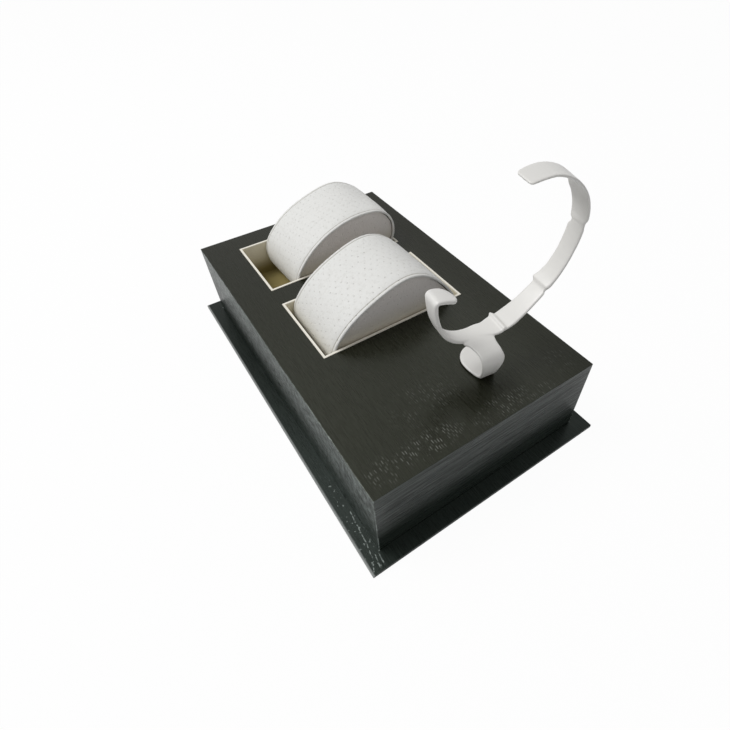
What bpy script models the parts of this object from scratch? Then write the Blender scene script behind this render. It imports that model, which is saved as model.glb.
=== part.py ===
"""Watch display tray: a black paper-covered box on a wider base board.

The top has two card-lined pockets, each with a half-moon pillow for a watch,
and a white plastic C-ring that stands on its own foot near the front edge.
Metres, +Z up. X is the short side, the front (near) side is -Y, and the
origin is the centre of the underside.
"""
import math
from collections import namedtuple

import bmesh
import bpy
from mathutils import Vector

MM = 0.001

# Clearances between pieces that touch
SEAT_GAP = 0.3 * MM
GLUE_GAP = 0.2 * MM

# Box body
BODY_WIDTH = 127.5 * MM
BODY_LENGTH = 208.3 * MM
TRAY_HEIGHT = 51.9 * MM
BOARD = 1.6 * MM
PAPER = 0.25 * MM
HEM = 12.0 * MM
EDGE_ROUND = 0.2 * MM

# Base under the body
LEDGE = 8.6 * MM
BASE_BOARD = 1.3 * MM
BASE_TURN_IN = 14.0 * MM
LINING_SHEET = 0.3 * MM
LINING_INSET = 2.4 * MM

# Card-lined pockets
POCKET_WIDTH = 87.3 * MM
POCKET_LENGTH = 50.2 * MM
POCKET_DEPTH = 22.3 * MM
LINER_CARD = 1.2 * MM
RIM_PROUD = 0.3 * MM
FAR_BORDER = 14.85 * MM
POCKET_SPACING = 14.1 * MM
FAR_POCKET_Y = BODY_LENGTH / 2 - FAR_BORDER - POCKET_LENGTH / 2
NEAR_POCKET_Y = FAR_POCKET_Y - POCKET_LENGTH - POCKET_SPACING

# Pillows
PILLOW_LENGTH = 46.8 * MM
BAND_SKIN = 1.2 * MM
PANEL_SKIN = 1.4 * MM
PANEL_RECESS = 1.5 * MM
LINING_GAP = 0.5 * MM
LIP_ROUND = 0.5 * MM
PROFILE_STEPS = 16
PILLOW_ROWS = 8
# A pillow bulges out over the pocket's rim again by this height above it
BULGE_START = 1.0 * MM
BULGE_HEIGHT = 10.0 * MM

# Watch ring: a moulded band that bends through a chain of arcs
RING_FROM_RIGHT = 50.15 * MM
RING_FROM_NEAR_EDGE = 23.95 * MM
RING_X = BODY_WIDTH / 2 - RING_FROM_RIGHT
RING_Y = -BODY_LENGTH / 2 + RING_FROM_NEAR_EDGE
RING_TURN = -7.5
RING_WIDTH = 8.5 * MM
RING_TOP_THICKNESS = 1.05 * MM
RING_HOOK_THICKNESS = 2.0 * MM
# The band stands over the foot's plate, this far behind the plate's near edge
BAND_BACK = 5.5 * MM
HOOK_TIP = (-15.2 * MM, 49.2 * MM)
HOOK_HEADING = 151.5
HOOK_FAR_ROUND = 6.4 * MM
HOOK_NEAR_ROUND = 2.6 * MM
TOP_END_ROUND = 1.7 * MM
# Each arc is its length and the angle that it turns, from the hook's tip to the top end
RING_ARCS = (
    (8.9 * MM, 20.5),
    (2.2 * MM, 100.0),
    (18.0 * MM, 23.0),
    (23.25 * MM, 72.0),
    (29.85 * MM, 27.0),
    (43.35 * MM, 58.5),
    (11.6 * MM, 30.0),
    (34.1 * MM, 71.0),
)
RING_STEP = 2.0 * MM

# The band's sides, from its hook to its top: the length along it in mm, how far its near and far sides
# are set in there, and its extra thickness inside. The three joints of its sections have a small rib.
BAND_SIDES = (
    (0, -0.9, -0.7, 0.0),
    (8.0, -0.7, -0.6, 0.0),
    (16.0, 0.0, 0.0, 0.0),
    (54.2, 0.0, 0.0, 0.0),
    (57.8, -1.6, 0.8, 0.0),
    (60.5, -2.9, 0.3, 0.0),
    (63.2, -3.1, 0.0, 0.0),
    (64.0, -3.1, -1.8, 1.0),
    (64.9, -3.1, -0.1, 0.8),
    (65.7, -3.1, 0.4, -0.2),
    (69.4, -3.1, 0.3, 0.0),
    (76.7, -2.1, 0.2, 0.0),
    (83.0, -1.2, -0.2, 0.0),
    (88.2, -0.7, -0.3, 0.0),
    (89.0, 0.1, -0.3, 0.0),
    (89.9, 0.1, -0.4, 0.2),
    (90.6, -0.6, -1.9, 1.0),
    (92.4, -0.8, -1.5, 0.7),
    (94.5, -0.7, -1.0, 0.5),
    (98.7, -0.5, -0.4, 0.3),
    (106.0, -0.2, -0.4, 0.1),
    (110.2, 0.0, -0.6, 0.0),
    (119.8, 0.0, -0.8, 0.0),
    (120.7, 0.3, 0.4, 0.0),
    (122.4, 0.4, 0.5, 0.0),
    (123.1, 0.2, -0.6, 0.2),
    (125.1, -0.7, -1.0, 0.0),
    (132.2, -0.5, -1.8, 0.0),
    (138.5, -0.5, -2.3, 0.0),
    (144.8, -0.2, -2.5, 0.0),
    (159.4, 0.0, -2.5, 0.0),
    (165.7, -0.1, -2.0, 0.0),
    (171.3, -0.1, -1.2, 0.0),
)

# Where the top end is twisted: the length along the band in mm, and how far each side is raised
BAND_TWIST = (
    (0, 0.0, 0.0),
    (138.5, 0.0, 0.0),
    (143.7, 0.0, 1.2),
    (152.0, 0.0, 0.9),
    (159.4, 0.0, 0.5),
    (165.7, -0.5, 0.2),
    (171.3, -0.5, 0.1),
)

# Ring's foot: a tongue from the band's near edge that turns down as a stem, and a plate under the band
FOOT_THICKNESS = 1.5 * MM
FOOT_END_LENGTH = 10.2 * MM
# Each station is how far in front of the plate's near edge, the height, and the left and right edges
FOOT_PATH = (
    (-9.0 * MM, 22.8 * MM, -7.0 * MM, 2.5 * MM),
    (-5.6 * MM, 22.9 * MM, -10.2 * MM, 5.5 * MM),
    (-2.8 * MM, 23.0 * MM, -8.9 * MM, 4.6 * MM),
    (0.0 * MM, 23.0 * MM, -8.3 * MM, 3.8 * MM),
    (2.6 * MM, 22.8 * MM, -8.0 * MM, 3.6 * MM),
    (4.8 * MM, 21.9 * MM, -7.8 * MM, 3.7 * MM),
    (6.0 * MM, 19.8 * MM, -7.5 * MM, 4.3 * MM),
    (6.1 * MM, 16.5 * MM, -6.9 * MM, 4.4 * MM),
    (5.0 * MM, 12.0 * MM, -5.9 * MM, 4.2 * MM),
    (3.2 * MM, 7.4 * MM, -4.7 * MM, 4.4 * MM),
    (1.4 * MM, 3.9 * MM, -3.7 * MM, 5.1 * MM),
    (-0.4 * MM, 1.8 * MM, -3.2 * MM, 6.2 * MM),
    (-2.6 * MM, 1.1 * MM, -3.7 * MM, 8.4 * MM),
    (-5.2 * MM, 1.05 * MM, -4.4 * MM, 12.4 * MM),
    (-8.0 * MM, 1.05 * MM, -5.0 * MM, 14.6 * MM),
    (-11.0 * MM, 1.05 * MM, -5.2 * MM, 15.2 * MM),
)
SECTION_ROUND = 0.3 * MM
STATION_GAP = 0.6 * MM


# Half-moon end of a pillow: a wide arch on top with a crown where the stuffing is fullest, two round
# ends and a flat underside. It is placed by its top's X and height above the tray, and by its tilt.
PillowEnd = namedtuple("PillowEnd", "half_width arch end crown crown_at crown_spread x top tilt")

# Near pillow: both ends alike, fullest to the right of its middle
NEAR_PILLOW_END = PillowEnd(
    half_width=40.0 * MM, arch=45.4 * MM, end=17.4 * MM,
    crown=5.6 * MM, crown_at=12.1 * MM, crown_spread=18.5 * MM,
    x=1.2 * MM, top=21.5 * MM, tilt=0.0,
)

# Far pillow: pushed to the right, and leaning with its right end up
FAR_PILLOW_NEAR_END = PillowEnd(
    half_width=36.3 * MM, arch=53.9 * MM, end=17.2 * MM,
    crown=0.0, crown_at=20.6 * MM, crown_spread=15.5 * MM,
    x=-1.3 * MM, top=22.8 * MM, tilt=23.0,
)
FAR_PILLOW_FAR_END = PillowEnd(
    half_width=38.9 * MM, arch=49.9 * MM, end=20.0 * MM,
    crown=3.9 * MM, crown_at=20.6 * MM, crown_spread=15.5 * MM,
    x=5.6 * MM, top=22.2 * MM, tilt=11.0,
)


def arc(centre_x, centre_z, radius, first, last, steps):
    """Points of an arc with their outward directions, as X, Z, direction X and direction Z."""
    points = []
    for i in range(steps + 1):
        angle = first + (last - first) * i / steps
        across = math.cos(angle)
        up = math.sin(angle)
        points.append((centre_x + radius * across, centre_z + radius * up, across, up))
    return points


def half_moon(shape):
    """Outline of a pillow's end before it is placed, anticlockwise from the right underside."""
    spread = math.asin((shape.half_width - shape.end) / (shape.arch - shape.end))
    centre_x = (shape.arch - shape.end) * math.sin(spread)
    centre_z = (shape.arch - shape.end) * math.cos(spread) - shape.arch
    upright = math.pi / 2
    right = arc(centre_x, centre_z, shape.end, -upright, upright - spread, PROFILE_STEPS)
    top = arc(0.0, -shape.arch, shape.arch, upright - spread, upright + spread, 2 * PROFILE_STEPS)
    left = [(-x, z, -across, up) for x, z, across, up in reversed(right)]
    underside = centre_z - shape.end
    under_steps = [2 * i / PROFILE_STEPS - 1 for i in range(1, PROFILE_STEPS)]
    under = [(centre_x * share, underside, 0.0, -1.0) for share in under_steps]
    crowned = []
    for x, z, across, up in right + top[1:-1] + left + under:
        bulge = shape.crown * math.exp(-((x - shape.crown_at) / shape.crown_spread) ** 2) * (1 + up) / 2
        crowned.append((x + bulge * across, z + bulge * up))
    return crowned


def pillow_outline(shape):
    """A pillow's end where it lies, pressed flat by the pocket's floor and its right wall."""
    turn = math.radians(shape.tilt)
    floor = TRAY_HEIGHT - POCKET_DEPTH + SEAT_GAP
    wall = POCKET_WIDTH / 2 - LINER_CARD - SEAT_GAP
    rim = TRAY_HEIGHT + RIM_PROUD + BULGE_START
    placed = []
    for x, z in half_moon(shape):
        world_x = shape.x + x * math.cos(turn) - z * math.sin(turn)
        world_z = TRAY_HEIGHT + shape.top + x * math.sin(turn) + z * math.cos(turn)
        over = max(world_x - wall, 0.0)
        free = min(max((world_z - rim) / BULGE_HEIGHT, 0.0), 1.0)
        pressed = over * (1 - free ** 2 * (3 - 2 * free))
        placed.append((world_x - pressed, max(world_z, floor)))
    return placed


def inset(points, distance):
    """Closed anticlockwise outline moved inwards by a distance."""
    moved = []
    count = len(points)
    for i, (x, z) in enumerate(points):
        before = points[i - 1]
        after = points[(i + 1) % count]
        along = Vector((after[0] - before[0], after[1] - before[1]))
        along.normalize()
        moved.append((x - along.y * distance, z + along.x * distance))
    return moved


def clear_scene():
    for item in list(bpy.data.objects):
        bpy.data.objects.remove(item, do_unlink=True)


def material(name, colour, roughness, metallic=0.0):
    made = bpy.data.materials.new(name)
    made.use_nodes = True
    shader = made.node_tree.nodes["Principled BSDF"]
    shader.inputs["Base Color"].default_value = (*colour, 1.0)
    shader.inputs["Roughness"].default_value = roughness
    shader.inputs["Metallic"].default_value = metallic
    return made


def add_object(name, mesh, finish=None, smooth=False):
    item = bpy.data.objects.new(name, mesh)
    bpy.context.scene.collection.objects.link(item)
    if finish is not None:
        mesh.materials.append(finish)
    if smooth:
        mesh.shade_smooth()
        mesh.set_sharp_from_angle(angle=math.radians(35))
    return item


def box_mesh(name, low, high):
    shape = bmesh.new()
    bmesh.ops.create_cube(shape, size=1.0)
    low = Vector(low)
    high = Vector(high)
    for vertex in shape.verts:
        for axis in range(3):
            vertex.co[axis] = low[axis] if vertex.co[axis] < 0 else high[axis]
    mesh = bpy.data.meshes.new(name)
    shape.to_mesh(mesh)
    shape.free()
    return mesh


def box(name, low, high, finish):
    return add_object(name, box_mesh(name, low, high), finish)


def cut(item, name, low, high):
    """Cut a box out of an object; the cutter itself isn't part of the model."""
    cutter = add_object(name, box_mesh(name, low, high))
    cutter.hide_render = True
    cutter.display_type = "WIRE"
    modifier = item.modifiers.new(name, "BOOLEAN")
    modifier.operation = "DIFFERENCE"
    modifier.solver = "EXACT"
    modifier.object = cutter


def round_edges(item, radius, segments=2):
    modifier = item.modifiers.new("round_edges", "BEVEL")
    modifier.width = radius
    modifier.segments = segments
    modifier.limit_method = "ANGLE"


def loft(name, loops, closed_loop, finish, smooth=True):
    """Skin between loops of equal count. A closed loft joins its last loop to its first."""
    shape = bmesh.new()
    rings = [[shape.verts.new(point) for point in loop] for loop in loops]
    count = len(loops[0])
    pairs = list(zip(rings, rings[1:]))
    if closed_loop:
        pairs.append((rings[-1], rings[0]))
    else:
        shape.faces.new(list(reversed(rings[0])))
        shape.faces.new(rings[-1])
    for first, second in pairs:
        for i in range(count):
            j = (i + 1) % count
            shape.faces.new((first[i], first[j], second[j], second[i]))
    bmesh.ops.recalc_face_normals(shape, faces=shape.faces)
    mesh = bpy.data.meshes.new(name)
    shape.to_mesh(mesh)
    shape.free()
    return add_object(name, mesh, finish, smooth)


def base_levels():
    """Heights of the base's layers, from the lining sheet up."""
    wrap_low = LINING_SHEET + SEAT_GAP
    board_low = wrap_low + PAPER + GLUE_GAP
    board_high = board_low + BASE_BOARD
    wrap_high = board_high + GLUE_GAP + PAPER
    return wrap_low, board_low, board_high, wrap_high


def make_base(board_finish, paper_finish):
    wrap_low, board_low, board_high, wrap_high = base_levels()
    half_x = BODY_WIDTH / 2 + LEDGE
    half_y = BODY_LENGTH / 2 + LEDGE

    sheet_x = half_x - LINING_INSET
    sheet_y = half_y - LINING_INSET
    box("bottom_sheet", (-sheet_x, -sheet_y, 0), (sheet_x, sheet_y, LINING_SHEET), paper_finish)

    board_x = half_x - PAPER - GLUE_GAP
    board_y = half_y - PAPER - GLUE_GAP
    box("base_board", (-board_x, -board_y, board_low), (board_x, board_y, board_high), board_finish)

    wrap = box("base_wrap", (-half_x, -half_y, wrap_low), (half_x, half_y, wrap_high), paper_finish)
    round_edges(wrap, EDGE_ROUND)
    inner_x = half_x - PAPER
    inner_y = half_y - PAPER
    cut(wrap, "base_wrap_inside", (-inner_x, -inner_y, wrap_low + PAPER), (inner_x, inner_y, wrap_high - PAPER))
    open_x = half_x - BASE_TURN_IN
    open_y = half_y - BASE_TURN_IN
    middle = (board_low + board_high) / 2
    cut(wrap, "base_wrap_underside", (-open_x, -open_y, -PAPER), (open_x, open_y, middle))


def pocket_box(centre_y, margin):
    """Lowest and highest X and Y of a pocket, grown by a margin."""
    half_x = POCKET_WIDTH / 2 + margin
    half_y = POCKET_LENGTH / 2 + margin
    return -half_x, half_x, centre_y - half_y, centre_y + half_y


def cut_pockets(item, low_z, high_z):
    for name, centre_y in (("near", NEAR_POCKET_Y), ("far", FAR_POCKET_Y)):
        x0, x1, y0, y1 = pocket_box(centre_y, GLUE_GAP)
        cut(item, f"{item.name}_{name}_cut_out", (x0, y0, low_z), (x1, y1, high_z))


def make_body(board_finish, paper_finish):
    wrap_low = base_levels()[3] + SEAT_GAP
    wall_low = wrap_low + PAPER + GLUE_GAP
    board_top = TRAY_HEIGHT - PAPER - GLUE_GAP
    wall_high = board_top - BOARD - SEAT_GAP
    outer_x = BODY_WIDTH / 2 - PAPER - GLUE_GAP
    outer_y = BODY_LENGTH / 2 - PAPER - GLUE_GAP
    inner_x = outer_x - BOARD
    inner_y = outer_y - BOARD

    for name, side in (("left_wall", -1), ("right_wall", 1)):
        xs = sorted((side * inner_x, side * outer_x))
        box(name, (xs[0], -outer_y, wall_low), (xs[1], outer_y, wall_high), board_finish)
    end_x = inner_x - SEAT_GAP
    for name, side in (("near_wall", -1), ("far_wall", 1)):
        ys = sorted((side * inner_y, side * outer_y))
        box(name, (-end_x, ys[0], wall_low), (end_x, ys[1], wall_high), board_finish)

    top = box("top_board", (-outer_x, -outer_y, board_top - BOARD), (outer_x, outer_y, board_top), board_finish)
    cut_pockets(top, board_top - 2 * BOARD, board_top + BOARD)

    half_x = BODY_WIDTH / 2
    half_y = BODY_LENGTH / 2
    wrap = box("body_wrap", (-half_x, -half_y, wrap_low), (half_x, half_y, TRAY_HEIGHT), paper_finish)
    round_edges(wrap, EDGE_ROUND)
    skin_x = half_x - PAPER
    skin_y = half_y - PAPER
    hem_x = inner_x - GLUE_GAP
    hem_y = inner_y - GLUE_GAP
    open_x = hem_x - PAPER
    open_y = hem_y - PAPER
    hem_top = wrap_low + HEM
    cut(wrap, "body_wrap_inside", (-skin_x, -skin_y, hem_top), (skin_x, skin_y, TRAY_HEIGHT - PAPER))
    cut(wrap, "body_wrap_opening", (-open_x, -open_y, -PAPER), (open_x, open_y, hem_top + BOARD))
    above_hem = hem_top + BOARD
    fold_z = wrap_low + PAPER
    cut(wrap, "body_wrap_left_slot", (-skin_x, -skin_y, fold_z), (-hem_x, skin_y, above_hem))
    cut(wrap, "body_wrap_right_slot", (hem_x, -skin_y, fold_z), (skin_x, skin_y, above_hem))
    cut(wrap, "body_wrap_near_slot", (-skin_x, -skin_y, fold_z), (skin_x, -hem_y, above_hem))
    cut(wrap, "body_wrap_far_slot", (-skin_x, hem_y, fold_z), (skin_x, skin_y, above_hem))
    cut_pockets(wrap, TRAY_HEIGHT - BOARD, TRAY_HEIGHT + BOARD)


def make_liner(name, centre_y, finish):
    """Card tray that lines a pocket, with its cut edge showing as the pocket's rim."""
    floor_top = TRAY_HEIGHT - POCKET_DEPTH
    rim = TRAY_HEIGHT + RIM_PROUD
    x0, x1, y0, y1 = pocket_box(centre_y, 0.0)
    liner = box(name, (x0, y0, floor_top - LINER_CARD), (x1, y1, rim), finish)
    x0, x1, y0, y1 = pocket_box(centre_y, -LINER_CARD)
    cut(liner, f"{name}_inside", (x0, y0, floor_top), (x1, y1, rim + LINER_CARD))


def make_pillow(name, centre_y, near_end, far_end, cover, stuffing):
    """A leatherette band around a stuffed core, closed by two recessed half-moon panels."""
    near_y = centre_y - POCKET_LENGTH / 2 + LINER_CARD + SEAT_GAP
    far_y = near_y + PILLOW_LENGTH

    def outline(y, depth):
        share = (y - near_y) / PILLOW_LENGTH
        shape = PillowEnd(*(a + (b - a) * share for a, b in zip(near_end, far_end)))
        points = pillow_outline(shape)
        if depth:
            points = inset(points, depth)
        return [Vector((x, y, z)) for x, z in points]

    rows = [near_y + PILLOW_LENGTH * (i + 1) / PILLOW_ROWS for i in range(PILLOW_ROWS - 1)]
    loops = [outline(near_y, LIP_ROUND), outline(near_y + LIP_ROUND, 0.0)]
    loops += [outline(y, 0.0) for y in rows]
    loops += [outline(far_y - LIP_ROUND, 0.0), outline(far_y, LIP_ROUND), outline(far_y, BAND_SKIN)]
    loops += [outline(y, BAND_SKIN) for y in reversed(rows)]
    loops += [outline(near_y, BAND_SKIN)]
    loft(f"{name}_band", loops, True, cover)

    lining = BAND_SKIN + LINING_GAP
    for side, outer_y, inner_y in (
        ("near", near_y + PANEL_RECESS, near_y + PANEL_RECESS + PANEL_SKIN),
        ("far", far_y - PANEL_RECESS, far_y - PANEL_RECESS - PANEL_SKIN),
    ):
        loft(f"{name}_{side}_panel", [outline(outer_y, lining), outline(inner_y, lining)], False, cover)
    core_near = near_y + PANEL_RECESS + PANEL_SKIN + SEAT_GAP
    core_far = far_y - PANEL_RECESS - PANEL_SKIN - SEAT_GAP
    core = [outline(y, lining) for y in (core_near, *rows, core_far)]
    loft(f"{name}_core", core, False, stuffing)


def ring_frame():
    turn = math.radians(RING_TURN)
    along = Vector((math.cos(turn), math.sin(turn), 0))
    forward = Vector((math.sin(turn), -math.cos(turn), 0))
    origin = Vector((RING_X, RING_Y, TRAY_HEIGHT))
    return origin, along, forward


def ring_point(sideways, forwards, height):
    origin, along, forward = ring_frame()
    return origin + along * sideways + forward * forwards + Vector((0, 0, height))


def ring_path():
    """Points along the band's middle as length, sideways, height and heading."""
    x, z = HOOK_TIP
    heading = math.radians(HOOK_HEADING)
    travelled = 0.0
    path = [(travelled, x, z, heading)]
    for length, turn in RING_ARCS:
        steps = max(math.ceil(length / RING_STEP), math.ceil(turn / 8.0))
        for _ in range(steps):
            heading += math.radians(turn) / steps / 2
            x += math.cos(heading) * length / steps
            z += math.sin(heading) * length / steps
            heading += math.radians(turn) / steps / 2
            travelled += length / steps
            path.append((travelled, x, z, heading))
    return path


def ring_length():
    return sum(length for length, _ in RING_ARCS)


def path_at(path, travelled):
    """Point on the band's middle at a length along it."""
    for before, after in zip(path, path[1:]):
        if after[0] >= travelled:
            share = (travelled - before[0]) / (after[0] - before[0])
            return tuple(a + (b - a) * share for a, b in zip(before, after))
    return path[-1]


def end_narrowing(distance, radius):
    """How far the band's sides draw in near an end that is rounded by a radius."""
    if distance >= radius:
        return 0.0
    return radius - math.sqrt(max(radius ** 2 - (radius - distance) ** 2, 0.0))


def band_section(width_low, width_high, bottom, top):
    """Rounded rectangle across the band: forwards and outwards from its middle."""
    round_off = min(SECTION_ROUND, (top - bottom) / 3)
    return [
        (width_low + round_off, bottom),
        (width_high - round_off, bottom),
        (width_high, bottom + round_off),
        (width_high, top - round_off),
        (width_high - round_off, top),
        (width_low + round_off, top),
        (width_low, top - round_off),
        (width_low, bottom + round_off),
    ]


def between(value, rows):
    """Straight-line values between rows whose first number is the place."""
    for before, after in zip(rows, rows[1:]):
        if value <= after[0]:
            share = max((value - before[0]) / (after[0] - before[0]), 0.0)
            return [a + (b - a) * share for a, b in zip(before[1:], after[1:])]
    return list(rows[-1][1:])


def ring_stations():
    """Lengths along the band where its section is placed."""
    total = ring_length()
    tip = (0.0, 0.02, 0.1, 0.25, 0.45, 0.7, 1.0)
    lengths = [share * HOOK_NEAR_ROUND for share in tip]
    lengths += [total - share * TOP_END_ROUND for share in tip]
    joints = [row[0] * MM for row in BAND_SIDES[1:-1]]
    lengths += joints
    for travelled, *_ in ring_path():
        clear_of_ends = HOOK_NEAR_ROUND < travelled < total - TOP_END_ROUND
        near_joint = any(abs(travelled - place) < STATION_GAP for place in joints)
        if clear_of_ends and not near_joint:
            lengths.append(travelled)
    return sorted(lengths)


def make_ring_band(finish):
    path = ring_path()
    total = ring_length()
    loops = []
    for travelled in ring_stations():
        _, x, z, heading = path_at(path, travelled)
        share = travelled / total
        thickness = RING_HOOK_THICKNESS + (RING_TOP_THICKNESS - RING_HOOK_THICKNESS) * share
        top_end = end_narrowing(total - travelled, TOP_END_ROUND)
        near_in, far_in, rib = between(travelled / MM, BAND_SIDES)
        near_raised, far_raised = between(travelled / MM, BAND_TWIST)
        far_side = -RING_WIDTH + far_in * MM + top_end + end_narrowing(travelled, HOOK_FAR_ROUND)
        near_side = -near_in * MM - top_end - end_narrowing(travelled, HOOK_NEAR_ROUND)
        outward = (math.sin(heading), -math.cos(heading))
        loop = []
        for forwards, rise in band_section(far_side, near_side, -thickness / 2 - rib * MM, thickness / 2):
            across = (forwards - far_side) / (near_side - far_side)
            rise += (far_raised + (near_raised - far_raised) * across) * MM
            loop.append(ring_point(x + outward[0] * rise, forwards - BAND_BACK, z + outward[1] * rise))
        loops.append(loop)
    return loft("watch_ring", loops, False, finish)


def foot_spline(count=6):
    """Smooth run through the foot's stations."""
    stations = [Vector(row) for row in FOOT_PATH]
    smooth = []
    for i in range(len(stations) - 1):
        before = stations[max(i - 1, 0)]
        first = stations[i]
        second = stations[i + 1]
        after = stations[min(i + 2, len(stations) - 1)]
        for step in range(count):
            t = step / count
            smooth.append((
                first * 2
                + (second - before) * t
                + (before * 2 - first * 5 + second * 4 - after) * t ** 2
                + (first * 3 - before - second * 3 + after) * t ** 3
            ) / 2)
    smooth.append(stations[-1])
    return smooth


def make_ring_foot():
    """The foot's stem and plate, as one strip that narrows to a rounded far end."""
    rows = foot_spline()
    last = rows[-1]
    centre = (last[2] + last[3]) / 2
    half = (last[3] - last[2]) / 2
    for share in (0.2, 0.4, 0.6, 0.75, 0.87, 0.95, 0.99):
        width = half * math.sqrt(1 - share ** 2)
        rows.append(Vector((last[0] - FOOT_END_LENGTH * share, last[1], centre - width, centre + width)))
    loops = []
    for i, row in enumerate(rows):
        before = rows[max(i - 1, 0)]
        after = rows[min(i + 1, len(rows) - 1)]
        along = Vector((after[0] - before[0], after[1] - before[1])).normalized()
        loops.append([
            ring_point(side, row[0] - along.y * rise, row[1] + along.x * rise)
            for side, rise in band_section(row[2], row[3], -FOOT_THICKNESS / 2, FOOT_THICKNESS / 2)
        ])
    return loft("watch_ring_foot", loops, False, None)


def make_ring(finish):
    """Band and foot are moulded as one piece."""
    band = make_ring_band(finish)
    foot = make_ring_foot()
    foot.hide_render = True
    foot.display_type = "WIRE"
    joined = band.modifiers.new("foot", "BOOLEAN")
    joined.operation = "UNION"
    joined.solver = "EXACT"
    joined.object = foot


def main():
    clear_scene()
    board = material("greyboard", (0.36, 0.33, 0.28), 0.9)
    paper = material("black_paper", (0.035, 0.034, 0.031), 0.5)
    card = material("ivory_card", (0.82, 0.78, 0.68), 0.7)
    cover = material("white_leatherette", (0.78, 0.78, 0.76), 0.5)
    stuffing = material("foam", (0.75, 0.72, 0.6), 0.95)
    plastic = material("white_plastic", (0.78, 0.77, 0.74), 0.35)

    make_base(board, paper)
    make_body(board, paper)
    make_liner("near_liner", NEAR_POCKET_Y, card)
    make_liner("far_liner", FAR_POCKET_Y, card)
    make_pillow("near_pillow", NEAR_POCKET_Y, NEAR_PILLOW_END, NEAR_PILLOW_END, cover, stuffing)
    make_pillow("far_pillow", FAR_POCKET_Y, FAR_PILLOW_NEAR_END, FAR_PILLOW_FAR_END, cover, stuffing)
    make_ring(plastic)


main()
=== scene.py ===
"""Looks for the watch display tray: black paper, ivory liners, white pillows and a plastic ring."""
import math
from collections import namedtuple

import bmesh
import bpy
from mathutils import Matrix, Vector
from mathutils import noise as fine_noise

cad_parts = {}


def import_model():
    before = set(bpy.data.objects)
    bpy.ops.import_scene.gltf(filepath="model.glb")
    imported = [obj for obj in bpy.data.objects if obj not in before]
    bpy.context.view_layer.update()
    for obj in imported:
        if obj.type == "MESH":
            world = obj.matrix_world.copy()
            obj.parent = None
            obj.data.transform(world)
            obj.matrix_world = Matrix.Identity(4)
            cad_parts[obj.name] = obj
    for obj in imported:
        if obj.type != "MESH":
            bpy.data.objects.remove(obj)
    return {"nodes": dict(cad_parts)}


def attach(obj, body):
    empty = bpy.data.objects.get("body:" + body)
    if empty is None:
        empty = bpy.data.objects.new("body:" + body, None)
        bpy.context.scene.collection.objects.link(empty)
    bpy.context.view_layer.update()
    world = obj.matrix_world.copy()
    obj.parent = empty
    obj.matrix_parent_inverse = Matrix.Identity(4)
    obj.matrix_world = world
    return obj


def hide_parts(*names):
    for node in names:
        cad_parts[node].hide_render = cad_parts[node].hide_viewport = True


MM = 0.001

# Camera, solved from the corners of the box in the photo
CAMERA_PLACE = (-0.09952, -0.18268, 0.22693)
CAMERA_AZIMUTH = -34.4687
CAMERA_ELEVATION = 47.5487
CAMERA_ROLL = -0.2649
CAMERA_LENS = 23.516
CAMERA_SHIFT = (-0.06227, -0.00627)

# Share of plain white in the floor, where the camera sees it and where the tray mirrors it
FLOOR_SEEN_WHITE = 0.965
FLOOR_MIRRORED_WHITE = 0.12
FLOOR_REACH = 3.0
FLOOR_DROP = 0.2 * MM

# One large soft lamp and an even white world
LAMP_PLACE = (-0.54, 0.42, 1.115)
LAMP_TARGET = (0, 0, 0.05)
LAMP_SIDE = 0.66
LAMP_POWER = 10.3
WORLD_STRENGTH = 0.335

# Where the tray's top, body and base are, in metres
TRAY_HEIGHT = 51.9 * MM
HALF_WIDTH = 63.75 * MM
HALF_LENGTH = 104.15 * MM
LEDGE = 8.6 * MM
BASE_TOP = 2.55 * MM

# A face looks along an axis when this much of its direction does
FACING_SHARE = 0.7

# Patches of the top whose pores get a painted glint: centre, half width, half length and strength
GLINT_PATCHES = (
    (-30.0 * MM, -95.0 * MM, 20.0 * MM, 6.5 * MM, 1.0),
    (10.0 * MM, -97.5 * MM, 21.0 * MM, 6.0 * MM, 0.75),
    (30.0 * MM, -101.0 * MM, 12.0 * MM, 3.5 * MM, 0.5),
    (-54.0 * MM, -95.0 * MM, 8.0 * MM, 8.0 * MM, 0.8),
    (-18.0 * MM, -75.0 * MM, 22.0 * MM, 13.0 * MM, 0.35),
    (52.0 * MM, -92.0 * MM, 9.0 * MM, 9.0 * MM, 0.3),
)

# Pores with a painted glint: their spacing across and along the grain, half their width and half their
# length
PORE_COLUMN = 1.15 * MM
PORE_ROW = 3.4 * MM
PORE_WIDTH = 0.30 * MM
PORE_LENGTH = 1.3 * MM
PORE_WANDER = 2.0 * MM

# Scuffed folds of the paper on the base, at its near left corner: first and last point of each
FOLD_SCUFFS = (
    ((-65.4 * MM, -80.0 * MM), (-66.8 * MM, -95.0 * MM)),
    ((-66.8 * MM, -95.0 * MM), (-68.0 * MM, -105.0 * MM)),
    ((-68.0 * MM, -105.0 * MM), (-70.6 * MM, -111.0 * MM)),
    ((-64.2 * MM, -104.6 * MM), (-65.3 * MM, -111.0 * MM)),
    ((-66.3 * MM, -104.8 * MM), (-67.6 * MM, -111.6 * MM)),
)
SCUFF_WIDTH = 0.34 * MM
SCUFF_WANDER = 1.6 * MM
PALE_EDGE_WIDTH = 0.5 * MM

# Lattice of dimples pressed into the leatherette
DIMPLE_COLUMN = 4.0 * MM
DIMPLE_ROW = 3.4 * MM
DIMPLE_SIZE = 0.55 * MM

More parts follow.
